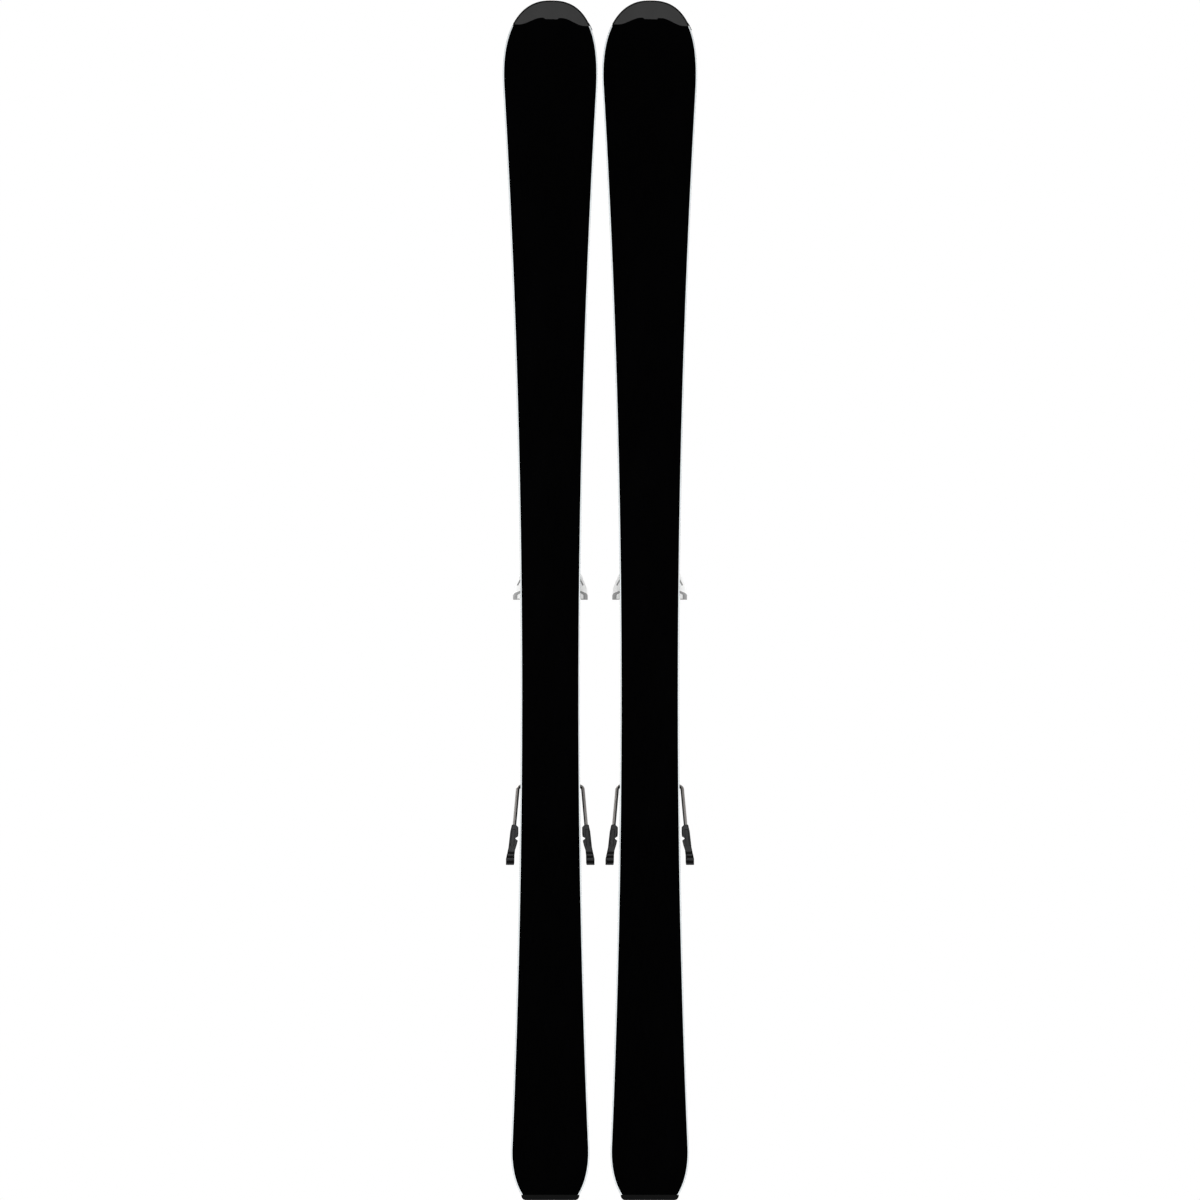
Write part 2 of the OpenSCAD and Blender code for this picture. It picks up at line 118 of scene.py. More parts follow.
def inset_width(x, d, side=1):
    """The same width with the outline moved inwards by d."""
    slope = (half_width(x + 0.05, side) - half_width(x - 0.05, side)) / 0.1
    return half_width(x, side) - d * math.hypot(1, slope)


def base_z(x):
    """Height of the running surface at x."""
    if x > TIP_CONTACT_X:
        return TIP_RISE * ((x - TIP_CONTACT_X) / (HALF_LEN - TIP_CONTACT_X)) ** 2
    if x < TAIL_CONTACT_X:
        return TAIL_RISE * ((TAIL_CONTACT_X - x) / (HALF_LEN + TAIL_CONTACT_X)) ** 2
    return 0.0


def thick(x):
    """Thickness of the ski at x."""
    for (x0, t0), (x1, t1) in zip(THICKNESS, THICKNESS[1:]):
        if x <= x1:
            return t0 + (t1 - t0) * (x - x0) / (x1 - x0)
    return THICKNESS[-1][1]


def smooth(u):
    """A soft step from 0 to 1 as u goes from 0 to 1."""
    v = min(1.0, max(0.0, u))
    return v * v * (3 - 2 * v)


def cap_edge(y):
    """Where the base ends and the tip protector starts: a crowned line with a small lug at its middle."""
    lug = CAP_LUG * (smooth((y + 8.5) / 2) - smooth((y - 9.0) / 2))
    fall = smooth((y - 14.5) / 28.5) if y > 0 else smooth((-y - 10) / 30)
    return HALF_LEN - CAP_BACK - CAP_SKEW * y + CAP_CROWN * (1 - fall) - lug


# ------------------------------------------------------------------ materials

def rgba(colour):
    """A colour for a socket: a link stays a link, a triple gets its alpha."""
    return colour if hasattr(colour, "is_output") else (*colour, 1)


class Nodes:
    """A material's node tree, with short calls for the nodes that repeat; lengths are in millimetres."""

    def __init__(self, name):
        self.mat = bpy.data.materials.new(name)
        self.mat.use_nodes = True
        self.tree = self.mat.node_tree
        self.shader = self.tree.nodes["Principled BSDF"]
        coord = self.tree.nodes.new("ShaderNodeTexCoord")
        self.mm = self.mapped(coord.outputs["Object"], (1000, 1000, 1000))
        split = self.tree.nodes.new("ShaderNodeSeparateXYZ")
        self.link(self.mm, split.inputs[0])
        self.x, self.y, self.z = split.outputs

    def link(self, a, b):
        self.tree.links.new(a, b)

    def mapped(self, vector, scale):
        n = self.tree.nodes.new("ShaderNodeMapping")
        n.inputs["Scale"].default_value = scale
        self.link(vector, n.inputs["Vector"])
        return n.outputs["Vector"]

    def put(self, value, socket):
        """Sets a socket to a plain value, or links it to another node's output."""
        if hasattr(value, "is_output"):
            self.link(value, socket)
        else:
            socket.default_value = value

    def math(self, kind, a, b=0.0, c=0.0):
        n = self.tree.nodes.new("ShaderNodeMath")
        n.operation = kind
        for v, s in zip((a, b, c), n.inputs):
            self.put(v, s)
        return n.outputs[0]

    def noise(self, size, detail=4, stretch=(1, 1, 1), rough=0.55):
        """Noise whose blobs are about size mm across."""
        where = self.mapped(self.mm, tuple(s / size for s in stretch))
        n = self.tree.nodes.new("ShaderNodeTexNoise")
        n.inputs["Scale"].default_value = 1
        n.inputs["Detail"].default_value = detail
        n.inputs["Roughness"].default_value = rough
        self.link(where, n.inputs["Vector"])
        return n.outputs["Fac"]

    def voronoi(self, size):
        """Cells about size mm across."""
        where = self.mapped(self.mm, (1 / size,) * 3)
        n = self.tree.nodes.new("ShaderNodeTexVoronoi")
        n.inputs["Scale"].default_value = 1
        self.link(where, n.inputs["Vector"])
        return n.outputs["Distance"]

    def span(self, v, a0, a1, b0=0.0, b1=1.0, step="LINEAR"):
        """v's range a0 to a1 mapped onto b0 to b1."""
        n = self.tree.nodes.new("ShaderNodeMapRange")
        n.interpolation_type = step
        for value, key in ((v, "Value"), (a0, "From Min"), (a1, "From Max"), (b0, "To Min"), (b1, "To Max")):
            self.put(value, n.inputs[key])
        return n.outputs[0]

    def mix(self, fac, a, b):
        n = self.tree.nodes.new("ShaderNodeMix")
        n.data_type = "RGBA"
        self.put(fac, n.inputs[0])
        for v, s in ((a, n.inputs[6]), (b, n.inputs[7])):
            self.put(rgba(v), s)
        return n.outputs[2]

    def bump(self, height, strength=0.3, depth=0.1):
        n = self.tree.nodes.new("ShaderNodeBump")
        n.inputs["Strength"].default_value = strength
        n.inputs["Distance"].default_value = depth * MM
        self.link(height, n.inputs["Height"])
        return n.outputs[0]

    def finish(self, colour, rough, normal=None, metal=0.0, specular=0.5, coat=0.0, coat_rough=0.1):
        s = self.shader.inputs
        self.put(rgba(colour), s["Base Color"])
        self.put(rough, s["Roughness"])
        s["Metallic"].default_value = metal
        s["Specular IOR Level"].default_value = specular
        s["Coat Weight"].default_value = coat
        s["Coat Roughness"].default_value = coat_rough
        if normal:
            self.link(normal, s["Normal"])
        return self.mat


def scaled(colour, k):
    """A colour made k times as bright."""
    return tuple(min(1.0, c * k) for c in colour)


def plastic(name, colour, rough=0.42, grain=0.5, spread=0.12, specular=0.5, depth=0.06, coat=0.0):
    """Moulded plastic: a fine spark-eroded grain, a faint flow mottle and soft changes of gloss."""
    n = Nodes(name)
    flow = n.span(n.noise(22, 3, (0.5, 1, 1)), 0.25, 0.75, step="SMOOTHSTEP")
    speck = n.span(n.noise(grain * 1.5, 2), 0.35, 0.65)
    tint = n.mix(flow, scaled(colour, 1 - spread * 0.6), scaled(colour, 1 + spread * 0.6))
    tint = n.mix(n.math("MULTIPLY", speck, 0.5), tint, scaled(colour, 1 - spread))
    gloss = n.span(n.noise(11, 3), 0.3, 0.7, rough - 0.03, rough + 0.05)
    return n.finish(tint, gloss, n.bump(n.voronoi(grain), 0.3, depth), specular=specular, coat=coat)


def metal(name, colour, rough=0.28, along=(1, 1, 1), size=1.2, spread=0.14, depth=0.02, metallic=1.0):
    """Ground or drawn metal: streaks along the tool's direction, with small changes in tone and gloss."""
    n = Nodes(name)
    streak = n.noise(size, 5, along, 0.65)
    patch = n.noise(18, 3)
    tint = n.mix(n.span(streak, 0.3, 0.7), scaled(colour, 1 - spread), scaled(colour, 1 + spread))
    tint = n.mix(n.span(patch, 0.55, 0.75, 0, 0.35), tint, scaled(colour, 0.75))
    gloss = n.span(streak, 0.3, 0.7, rough - 0.07, rough + 0.1)
    return n.finish(tint, gloss, n.bump(streak, 0.3, depth), metal=metallic)


def sintered_base():
    """Black running base: a fine ground structure along the ski, waxed matt."""
    n = Nodes("sintered_base")
    lines = n.noise(0.55, 3, (0.02, 1, 1), 0.7)
    patch = n.noise(45, 4, (0.4, 1, 1))
    tint = n.mix(n.span(lines, 0.35, 0.65), (0.0002, 0.0002, 0.0002), (0.0006, 0.0006, 0.0007))
    tint = n.mix(n.span(patch, 0.45, 0.8, 0, 0.5), tint, (0.0009, 0.0009, 0.001))
    gloss = n.span(patch, 0.3, 0.7, 0.5, 0.66)
    return n.finish(tint, gloss, n.bump(lines, 0.5, 0.03), specular=0.003)


def wood():
    """Laminated core: strips glued side by side, each with its own tone and grain."""
    n = Nodes("core_wood")
    strip = n.math("FLOOR", n.math("DIVIDE", n.y, 11.0))
    tone = n.math("FRACT", n.math("MULTIPLY", n.math("SINE", n.math("MULTIPLY", strip, 12.99)), 437.6))
    grain = n.noise(1.6, 6, (0.03, 1, 1), 0.6)
    pale, deep = (0.62, 0.44, 0.25), (0.36, 0.21, 0.1)
    tint = n.mix(n.span(grain, 0.3, 0.7, 0, 0.8), pale, deep)
    tint = n.mix(n.span(tone, 0, 1, 0, 0.35), tint, (0.74, 0.58, 0.38))
    return n.finish(tint, n.span(grain, 0.3, 0.7, 0.45, 0.6), n.bump(grain, 0.3, 0.08))


ALONG_WIRE = (0.1, 1, 1)
M = {
    "base": sintered_base(),
    "edge": metal("edge_steel", (0.88, 0.93, 0.95), rough=0.24, along=(0.05, 1, 1), size=0.8, spread=0.05),
    "wood": wood(),
    "sidewall": plastic("sidewall_black", (0.018, 0.018, 0.019), rough=0.38, grain=0.9),
    "protector": plastic("protector_grey", (0.0265,) * 3, rough=0.55, grain=0.6, spread=0.1, specular=0.12),
    "rim": plastic("protector_rim", (0.004,) * 3, rough=0.5, grain=0.6, spread=0.1, specular=0.1),
    "tail": plastic("protector_black", (0.0025,) * 3, rough=0.55, grain=0.6, spread=0.1, specular=0.06),
    "rail": plastic("rail_plastic", (0.03, 0.031, 0.033), rough=0.45, grain=0.7),
    "screw": metal("screw_steel", (0.62, 0.62, 0.6), rough=0.3, size=0.7),
    "chassis": plastic("chassis_plastic", (0.045, 0.046, 0.049), rough=0.48),
    "housing": plastic("housing_white", (0.8, 0.8, 0.795), rough=0.3, grain=1.1, spread=0.02, depth=0.02, coat=0.3),
    "wing": plastic("wing_white", (0.9, 0.9, 0.895), rough=0.32, grain=1.1, spread=0.02, depth=0.02, coat=0.2),
    "groove": plastic("groove_grey", (0.12, 0.12, 0.122), rough=0.6, grain=0.8, spread=0.1, specular=0.3),
    # grey painted shade for the wings' end pad, trim strip and groove faces
    "wing_painted_shade": plastic("wing_grey_painted_shade", (0.31,) * 3, rough=0.5, grain=0.6, spread=0.2),
    "pin": metal("pin_steel", (0.66, 0.66, 0.67), rough=0.2, along=(1, 1, 0.1)),
    "spring": metal("spring_steel", (0.42, 0.42, 0.43), rough=0.3),
    "plug": metal("plug_grey", (0.34, 0.35, 0.36), rough=0.4, size=1.6),
    "indicator": plastic("indicator_orange", (0.75, 0.13, 0.01), rough=0.4),
    "afd": plastic("afd_grey", (0.3, 0.31, 0.32), rough=0.25, grain=1.4, spread=0.06, depth=0.02),
    "lever": plastic("lever_black", (0.022, 0.022, 0.024)),
    "bracket": plastic("bracket_black", (0.03, 0.03, 0.032), rough=0.5),
    "pedal": plastic("pedal_grey", (0.09, 0.093, 0.097), rough=0.5),
    "wire": metal("wire_steel", (0.36, 0.34, 0.325), 0.3, ALONG_WIRE, size=0.9, spread=0.12, metallic=0.6),
    # dark steel painted on the brake arms' lower inner side as shade
    "wire_painted_shade": metal("wire_steel_painted_shade", (0.03, 0.029, 0.028), 0.35, ALONG_WIRE, size=0.9, spread=0.12, metallic=0.8),
    "pad": plastic("pad_black", (0.033, 0.033, 0.034), rough=0.55, spread=0.15, specular=0.15),
    # near-black painted shade for the pads' rim bands, side walls and recesses
    "pad_painted_shade": plastic("pad_black_painted_shade", (0.003,) * 3, rough=0.5, spread=0.1, specular=0.1),
}


def topsheet():
    """Printed topsheet: white ground, a dark spear at tip and tail, and slanted bands by the binding."""
    n = Nodes("topsheet_print")
    across = n.math("ABSOLUTE", n.y)
    ahead = n.math("SUBTRACT", n.x, n.math("MULTIPLY", across, 2.2))
    spear = n.math("GREATER_THAN", ahead, 455.0)
    spear_edge = n.math("GREATER_THAN", ahead, 430.0)
    back = n.math("ADD", n.x, n.math("MULTIPLY", across, 1.6))
    tail = n.math("LESS_THAN", back, -540.0)
    tail_edge = n.math("LESS_THAN", back, -522.0)
    slant = n.math("ADD", n.x, n.math("MULTIPLY", n.y, 0.9))
    bands = n.math("LESS_THAN", n.math("PINGPONG", slant, 14.0), 4.0)
    near = n.math("COMPARE", n.x, 250.0, 62.0)
    rear = n.math("COMPARE", n.x, -440.0, 40.0)
    stripe = n.math("LESS_THAN", across, 1.4)
    flake = n.noise(1.1, 4)
    ground = n.mix(n.span(flake, 0.3, 0.7), (0.72, 0.73, 0.74), (0.84, 0.85, 0.86))
    tint = n.mix(stripe, ground, (0.24, 0.25, 0.27))
    tint = n.mix(n.math("MULTIPLY", bands, n.math("MAXIMUM", near, rear)), tint, (0.05, 0.3, 0.33))
    for edge, field in ((spear_edge, spear), (tail_edge, tail)):
        tint = n.mix(edge, tint, (0.04, 0.34, 0.38))
        tint = n.mix(field, tint, n.mix(n.span(flake, 0.3, 0.7), (0.018, 0.02, 0.023), (0.035, 0.038, 0.042)))
    gloss = n.span(n.noise(7, 6, (0.3, 3, 1)), 0.35, 0.75, 0.2, 0.34)
    return n.finish(tint, gloss, n.bump(flake, 0.08, 0.05), coat=0.4, coat_rough=0.12)


M["sheet"] = topsheet()

# ------------------------------------------------------------------ mesh helpers


def with_slots(mesh, count=2):
    """The mesh, with empty material slots added until it has count of them."""
    while len(mesh.materials) < count:
        mesh.materials.append(None)
    return mesh


def new_mesh(name, verts, faces, face_mats=None, tint=0):
    """A mesh from points in millimetres, its faces turned outwards; each face takes its own slot or tint."""
    mesh = bpy.data.meshes.new(name)
    mesh.from_pydata([tuple(c * MM for c in v) for v in verts], [], faces)
    with_slots(mesh)
    for k, polygon in enumerate(mesh.polygons):
        polygon.material_index = face_mats[k] if face_mats else tint
    b = bmesh.new()
    b.from_mesh(mesh)
    bmesh.ops.remove_doubles(b, verts=b.verts, dist=1e-6)
    bmesh.ops.recalc_face_normals(b, faces=b.faces)
    b.to_mesh(mesh)
    b.free()
    return mesh


def loft(rings, caps=True, closed=True):
    """Verts and faces that join rings of equal length, as a tube with end caps."""
    n = len(rings[0])
    verts = [p for r in rings for p in r]
    span = n if closed else n - 1
    faces = [
        (i * n + j, i * n + (j + 1) % n, (i + 1) * n + (j + 1) % n, (i + 1) * n + j)
        for i in range(len(rings) - 1)
        for j in range(span)
    ]
    if caps:
        faces += [tuple(range(n))[::-1], tuple(range((len(rings) - 1) * n, len(rings) * n))]
    return verts, faces


def joined(parts):
    """Several (verts, faces) lists as one."""
    verts, faces = [], []
    for v, f in parts:
        k = len(verts)
        verts += v
        faces += [tuple(i + k for i in face) for face in f]
    return verts, faces


def work_object(mesh):
    """A passing object for modifiers to work on."""
    o = bpy.data.objects.new("work", mesh)
    bpy.context.scene.collection.objects.link(o)
    return o


def applied(o):
    """The object's mesh with its modifiers applied; the object goes."""
    bpy.context.view_layer.update()
    mesh = bpy.data.meshes.new_from_object(o.evaluated_get(bpy.context.evaluated_depsgraph_get()))
    bpy.data.objects.remove(o)
    return mesh


def cut(mesh, cutters):
    """mesh with each cutter taken away; the new faces keep the cutter's tint."""
    o = work_object(mesh)
    others = [work_object(c) for c in cutters]
    for c in others:
        m = o.modifiers.new("cut", "BOOLEAN")
        m.operation, m.object, m.solver = "DIFFERENCE", c, "EXACT"
    out = applied(o)
    for c in others:
        bpy.data.objects.remove(c)
    return out


def rounded_edges(mesh, width, segments=3, angle=28):
    """mesh with its sharp edges rounded to width millimetres, for parts with crisp edges."""
    o = work_object(mesh)
    m = o.modifiers.new("round", "BEVEL")
    m.width, m.segments, m.limit_method = width * MM, segments, "ANGLE"
    m.angle_limit, m.use_clamp_overlap = math.radians(angle), True
    return applied(o)


def moulded(mesh, voxel=0.5, passes=5, keep=0.35):
    """mesh as a moulding: remade in fine even faces, then relaxed so that every edge and corner is round."""
    o = work_object(mesh)
    m = o.modifiers.new("remake", "REMESH")
    m.mode, m.voxel_size = "VOXEL", voxel * MM
    m = o.modifiers.new("relax", "SMOOTH")
    m.factor, m.iterations = 0.5, passes
    m = o.modifiers.new("thin", "DECIMATE")
    m.ratio = keep
    return with_slots(applied(o))


def round_corners(points, radius, steps=5):
    """A polygon with its corners rounded."""
    out = []
    for i, p in enumerate(points):
        a, b, c = Vector(points[i - 1]), Vector(p), Vector(points[(i + 1) % len(points)])
        r = min(radius, (a - b).length / 2.05, (c - b).length / 2.05)
        s, e = b + (a - b).normalized() * r, b + (c - b).normalized() * r
        for k in range(steps + 1):
            t = k / steps
            out.append(tuple((1 - t) ** 2 * s + 2 * t * (1 - t) * b + t * t * e))
    return out


def prism(points, low, high, axis="z", tint=0):
    """A polygon pushed along an axis: drawn in XY for z, in XZ for y, in YZ for x."""
    def at(p, h):
        return {"z": (p[0], p[1], h), "y": (p[0], h, p[1]), "x": (h, p[0], p[1])}[axis]
    return new_mesh("prism", *loft([[at(p, low) for p in points], [at(p, high) for p in points]]), tint=tint)


def block(x0, x1, y0, y1, z0, z1, tint=0):
    """A box between two corners."""
    return prism([(x0, y0), (x1, y0), (x1, y1), (x0, y1)], z0, z1, tint=tint)


def span_on(side, near, far):
    """The span from near to far on side 1 or -1 of the centre, its low end first."""
    return sorted((side * near, side * far))


def merged(meshes):
    """Separate meshes as one mesh."""
    b = bmesh.new()
    for m in meshes:
        b.from_mesh(m)
    out = with_slots(bpy.data.meshes.new("merged"))
    b.to_mesh(out)
    b.free()
    return out


def mirrored(mesh):
    """A copy of the mesh on the other side of the ski's centre line."""
    m = mesh.copy()
    m.transform(Matrix.Scale(-1, 4, (0, 1, 0)))
    m.flip_normals()
    return m


def tube(path, radius, steps=20):
    """A round rod along a path of points, with its two ends chamfered."""
    pts = [Vector(p) for p in path]
    first, last = (pts[1] - pts[0]).normalized(), (pts[-1] - pts[-2]).normalized()
    pts = [pts[0], pts[0] + first * radius * 0.25] + pts[1:-1] + [pts[-1] - last * radius * 0.25, pts[-1]]
    up, rings = None, []
    for i, p in enumerate(pts):
        t = (pts[min(i + 1, len(pts) - 1)] - pts[max(i - 1, 0)]).normalized()
        up = (up - t * up.dot(t)).normalized() if up else t.orthogonal().normalized()
        side = t.cross(up)
        r = radius * (0.75 if i in (0, len(pts) - 1) else 1)
        rings.append([
            tuple(p + r * (math.cos(a) * up + math.sin(a) * side))
            for a in (2 * math.pi * k / steps for k in range(steps))
        ])
    return loft(rings)


def cad_shape(node):
    """A CAD node's mesh in the ski's own frame, with each flat area as a single face."""
    mesh = frame["nodes"][f"left_{node}"].data.copy()
    mesh.materials.clear()
    with_slots(mesh)
    mesh.transform(Matrix.Translation(-ORIGIN["left"]))
    b = bmesh.new()
    b.from_mesh(mesh)
    bmesh.ops.remove_doubles(b, verts=b.verts, dist=1e-6)
    bmesh.ops.dissolve_limit(b, angle_limit=math.radians(0.5), verts=b.verts, edges=b.edges, delimit=set())
    b.to_mesh(mesh)
    b.free()
    return mesh


def place(name, mesh, looks, body, angle=32):
    """Puts a piece drawn in a ski's own frame on both skis, in place of the CAD node of that name."""
    looks = [looks] if isinstance(looks, str) else looks
    with_slots(mesh, len(looks))
    for k in range(len(mesh.materials)):
        mesh.materials[k] = M[looks[min(k, len(looks) - 1)]]
    mesh.shade_smooth()
    mesh.set_sharp_from_angle(angle=math.radians(angle))
    mesh.name = name
    for side in SIDES:
        o = bpy.data.objects.new(f"{side}_{name}_shape", mesh)
        bpy.context.scene.collection.objects.link(o)
        o.location = ORIGIN[side]
        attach(o, f"{side}_{body}")
        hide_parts(f"{side}_{name}")


# ------------------------------------------------------------------ the ski

def stations(x0, x1):
    """Places along the ski from x0 to x1, closer together where the outline curves."""
    xs = [x0]
    while xs[-1] < x1 - 1e-6:
        x = xs[-1]
        step = 2.0 if x > 620 or x < TAIL_X + 8 else 6.0 if x > TIP_CONTACT_X - 30 else 15.0
        xs.append(min(x1, x + step))
    return xs


def sheet_mesh(inset, low, high, soft):
    """A layer across the whole ski: low and high give its two faces at x, soft rounds its upper rim.

    Up to SHEET_FIXED_X its rows lie straight across; from there each column runs on to the tip protector's line.
    """
    columns, split = SHEET_COLUMNS, SHEET_FIXED_X
    shares = [-1 + 2 * j / columns for j in range(columns + 1)]

    def width(x, v):
        return v * inset_width(x, inset, 1 if v > 0 else -1)

    reach = []
    for v in shares:
        x = split
        for _ in range(30):
            x = cap_edge(width(x, v))
        reach.append(x)
    rings = []
    for x in stations(TAIL_CUT_X, split)[:-1] + [split + 0.1 * k for k in range(11)]:
        bottom, top = [], []
        for v, end in zip(shares, reach):
            at = x if x <= split else split + (x - split) * (end - split)
            y = width(at, v)
            edge = max(0.0, abs(y) - (abs(width(at, 1 if v > 0 else -1)) - soft)) if soft else 0.0
            bottom.append((at, y, low(at)))
            top.append((at, y, high(at) - (soft - math.sqrt(max(0.0, soft**2 - edge**2)))))
        rings.append(bottom + top[::-1])
    verts, faces = loft(rings, caps=False)
    around = 2 * (columns + 1)
    for start in (0, len(verts) - around):
        faces += [
            (start + j, start + j + 1, start + around - 2 - j, start + around - 1 - j) for j in range(columns)
        ]
    return verts, faces


def strip_mesh(section):
    """A strip along both sides of the ski; section gives its ring of (inset, height) at x."""
    parts = []
    for side in (1, -1):
        rings = [
            [(x, side * inset_width(x, d, side), z) for d, z in section(x)]
            for x in stations(TAIL_CUT_X, STRIP_END_X)
        ]
        parts.append(loft(rings))
    return joined(parts)


def ski_layers():
    """Base, topsheet, steel edges and sidewalls."""
    place("base", new_mesh("base", *sheet_mesh(EDGE_W + 0.03, base_z, lambda x: base_z(x) + BASE_T, 0)),
          "base", "ski")
    place("topsheet", new_mesh("sheet", *sheet_mesh(
        0.4, lambda x: base_z(x) + thick(x) - SHEET_T, lambda x: base_z(x) + thick(x), 0.9)),
        "sheet", "ski", 60)

    def edge_section(x):
        b = base_z(x)
        return [(0.25, b), (EDGE_W, b), (EDGE_W, b + BASE_T), (STRIP_W, b + BASE_T), (STRIP_W, b + EDGE_H),
                (0.1, b + EDGE_H), (0, b + EDGE_H - 0.1), (0, b + 0.25)]

    def wall_section(x):
        b, t = base_z(x), base_z(x) + thick(x) - SHEET_T
        return [(0.4, b + EDGE_H), (STRIP_W, b + EDGE_H), (STRIP_W, t), (0.9, t), (0.7, t - 0.3)]

    place("steel_edges", new_mesh("edges", *strip_mesh(edge_section)), "edge", "ski", 25)
    place("sidewalls", new_mesh("walls", *strip_mesh(wall_section)), "sidewall", "ski")


def nose_outline(steps=44):
    """The ski's outline ahead of the base, from the left corner round the tip to the right one."""
    out = []
    for side, (start, power) in ((1, LEFT_NOSE), (-1, RIGHT_NOSE)):
        points = []
        for i in range(steps + 1):
            a = math.pi / 2 * i / steps
            x = start + (HALF_LEN - start) * math.sin(a) ** (2 / power)
            w = WAIST_W / 2 + (x - WAIST_X) ** 2 / (2 * SIDECUT_R)
            points.append((x, side * w * math.cos(a) ** (2 / power)))
        out += points if side > 0 else points[-2::-1]
    return [p for p in out if p[0] > cap_edge(p[1])]


def tip_protector():
    """Grey cap over the tip: a flat field inside a dark rounded rim, and a thin lip off its left corner.

    Each level is an inset of the outline, with how far the lower and upper faces draw in there. The cap runs
    on under the base, so that no gap shows along their line.
    """
    kept = nose_outline()
    n = len(kept)
    levels = [(0.0, 0.9, 0.9), (0.2, 0.35, 0.4), (0.7, 0.05, 0.1), (1.9, 0.0, 0.0), (2.3, 0.35, 0.4)]
    inner, under = 8, 2.2
    rings_low, rings_high = [], []
    for k in range(len(levels) + inner):
        inset, low_in, high_in = levels[min(k, len(levels) - 1)]
        low, high = [], []
        for i, (x, y) in enumerate(kept):
            a, b = kept[max(0, i - 1)], kept[min(n - 1, i + 1)]
            t = Vector((b[0] - a[0], b[1] - a[1])).normalized()
            q = Vector((x, y)) + Vector((t.y, -t.x)) * inset
            if k >= len(levels):
                share = (k - len(levels) + 1) / inner
                q = q.lerp(Vector((cap_edge(q.y * 0.98) - under, q.y * 0.98)), share)
            q.x = max(q.x, cap_edge(q.y) - under)
            low.append((q.x, q.y, base_z(q.x) + low_in))
            high.append((q.x, q.y, base_z(q.x) + thick(q.x) + 0.5 - high_in))
        rings_low.append(low)
        rings_high.append(high)
    rings = rings_low[::-1] + rings_high
    m = len(rings)
    verts, faces = loft(rings, caps=False, closed=False)
    mats = []
    for i in range(m - 1):
        mats += [1 if abs(i - (len(rings_low) - 1)) < len(levels) - 1 else 0] * (n - 1)
    faces += [tuple(i * n for i in range(m)), tuple(i * n + n - 1 for i in range(m))[::-1]]
    faces += [(j, (m - 1) * n + j, (m - 1) * n + j + 1, j + 1) for j in range(n - 1)]
    mats += [1, 1] + [0] * (n - 1)
    lip = prism([(727, 46.2), (726.7, 48.3), (722.3, 50.9), (717.2, 53.1), (717.1, 52.3), (721.8, 50.5), (725, 48)],
                42.3, 45.8, tint=1)
    place("tip_protector", merged([new_mesh("tip", verts, faces, mats), lip]), ["protector", "rim"],
          "ski", 40)


ski_layers()
tip_protector()
place("tail_protector", moulded(cad_shape("tail_protector"), 0.5, 4), "tail", "ski")
place("rail", rounded_edges(cad_shape("rail"), 0.4, 2), "rail", "ski")
place("rail_screws", rounded_edges(cad_shape("rail_screws"), 0.12, 2), "screw", "ski")

# ------------------------------------------------------------------ the toe piece

def helix(x0, length, turns, z):
    """A coil spring along X, its end turns drawn flat."""
    path, steps, r = [], 26, SPRING_WIRE_R
    for i in range(int(turns * steps) + 1):
        a, u = 2 * math.pi * i / steps, i / (turns * steps)
        x = x0 + r + (length - 2 * r) * smooth(u * 1.06 - 0.03)
        path.append((x, SPRING_R * math.cos(a), z + SPRING_R * math.sin(a)))
    return new_mesh("spring", *tube(path, r, 10))


def arc(centre, radius, a0, a1, steps=10):
    """Points on a circle from angle a0 to a1, in degrees."""
    return [
        (centre[0] + radius * math.cos(math.radians(a0 + (a1 - a0) * i / steps)),
         centre[1] + radius * math.sin(math.radians(a0 + (a1 - a0) * i / steps)))
        for i in range(steps + 1)
    ]


def toe_housing():
    """White shell with slanted side slots and, on top, a framed window with its scale."""
    cutters = []
    for s in (1, -1):
        for k in range(3):
            x = 73 + 5.2 * k
            slot = [(x, 41.5), (x + 2.2, 41.5), (x + 5.2, 55), (x + 3.0, 55)]
            y = 25.5 - 1.4 * k
            cutters.append(prism(round_corners(slot, 0.8), *span_on(s, y, 40), "y", tint=1))
    outer = round_corners([(58.5, -6.5), (85.5, -6.5), (85.5, 6.5), (58.5, 6.5)], 3)
    inner = round_corners([(60, -5), (84, -5), (84, 5), (60, 5)], 2.2)
    under = [(50, 50), (95, 50), (95, 61.4), (78, 63.8), (56, 65.7), (50, 65.7)]
    ring = cut(prism(outer, 60, 80, tint=1), [prism(inner, 55, 85, tint=1)])
    cutters.append(cut(ring, [prism(under, -20, 20, "y", tint=1)]))
    for k in range(5):
        x = 64 + 3.6 * k
        cutters.append(block(x, x + 0.6, 3.6, 4.6 + (0.8 if k % 2 == 0 else 0), 62.2, 70, tint=1))
    place("toe_housing", cut(moulded(cad_shape("toe_housing"), 0.6, 14), cutters), ["housing", "groove"],
          "ski")


def toe_wing():
    """The left wing: a hooked arm with a groove, a lip over the boot's toe and a rubbing pad; the pad, a trim strip
    and the groove faces are grey as painted shade.
    """
    # the grooves' cut faces take the grey slot as painted shade
    body = cut(moulded(cad_shape("toe_wing_left"), 0.5, 4), [
        prism([(29.3, 36.4), (18.8, 42.1), (18.0, 40.5), (28.5, 34.8)], 38, 40.9, tint=1),
        prism([(30, 30), (10, 41), (9.4, 39.9), (29.4, 28.9)], 63.4, 66, tint=1),
        prism([(46, 22), (30, 30.5), (29.4, 29.4), (45.4, 20.9)], 57.2, 59, tint=1),
    ])
    pad = rounded_edges(prism(round_corners([
        (0.3, 47.0), (6.2, 47.0), (8.6, 45.2), (12.4, 36.2), (9.8, 35.2), (6.8, 41.6), (0.3, 41.8)
    ], 0.8), 39.5, 55.5, tint=0), 0.4, 2)
    trim = prism([(0.4, 38.5), (1.5, 38.5), (1.5, 42.2), (0.4, 42.2)], 39.7, 41)
    # painted shade: the pad and the trim strip take the grey slot
    for polygon in [*pad.polygons, *trim.polygons]:
        polygon.material_index = 1
    return merged([body, pad, trim])


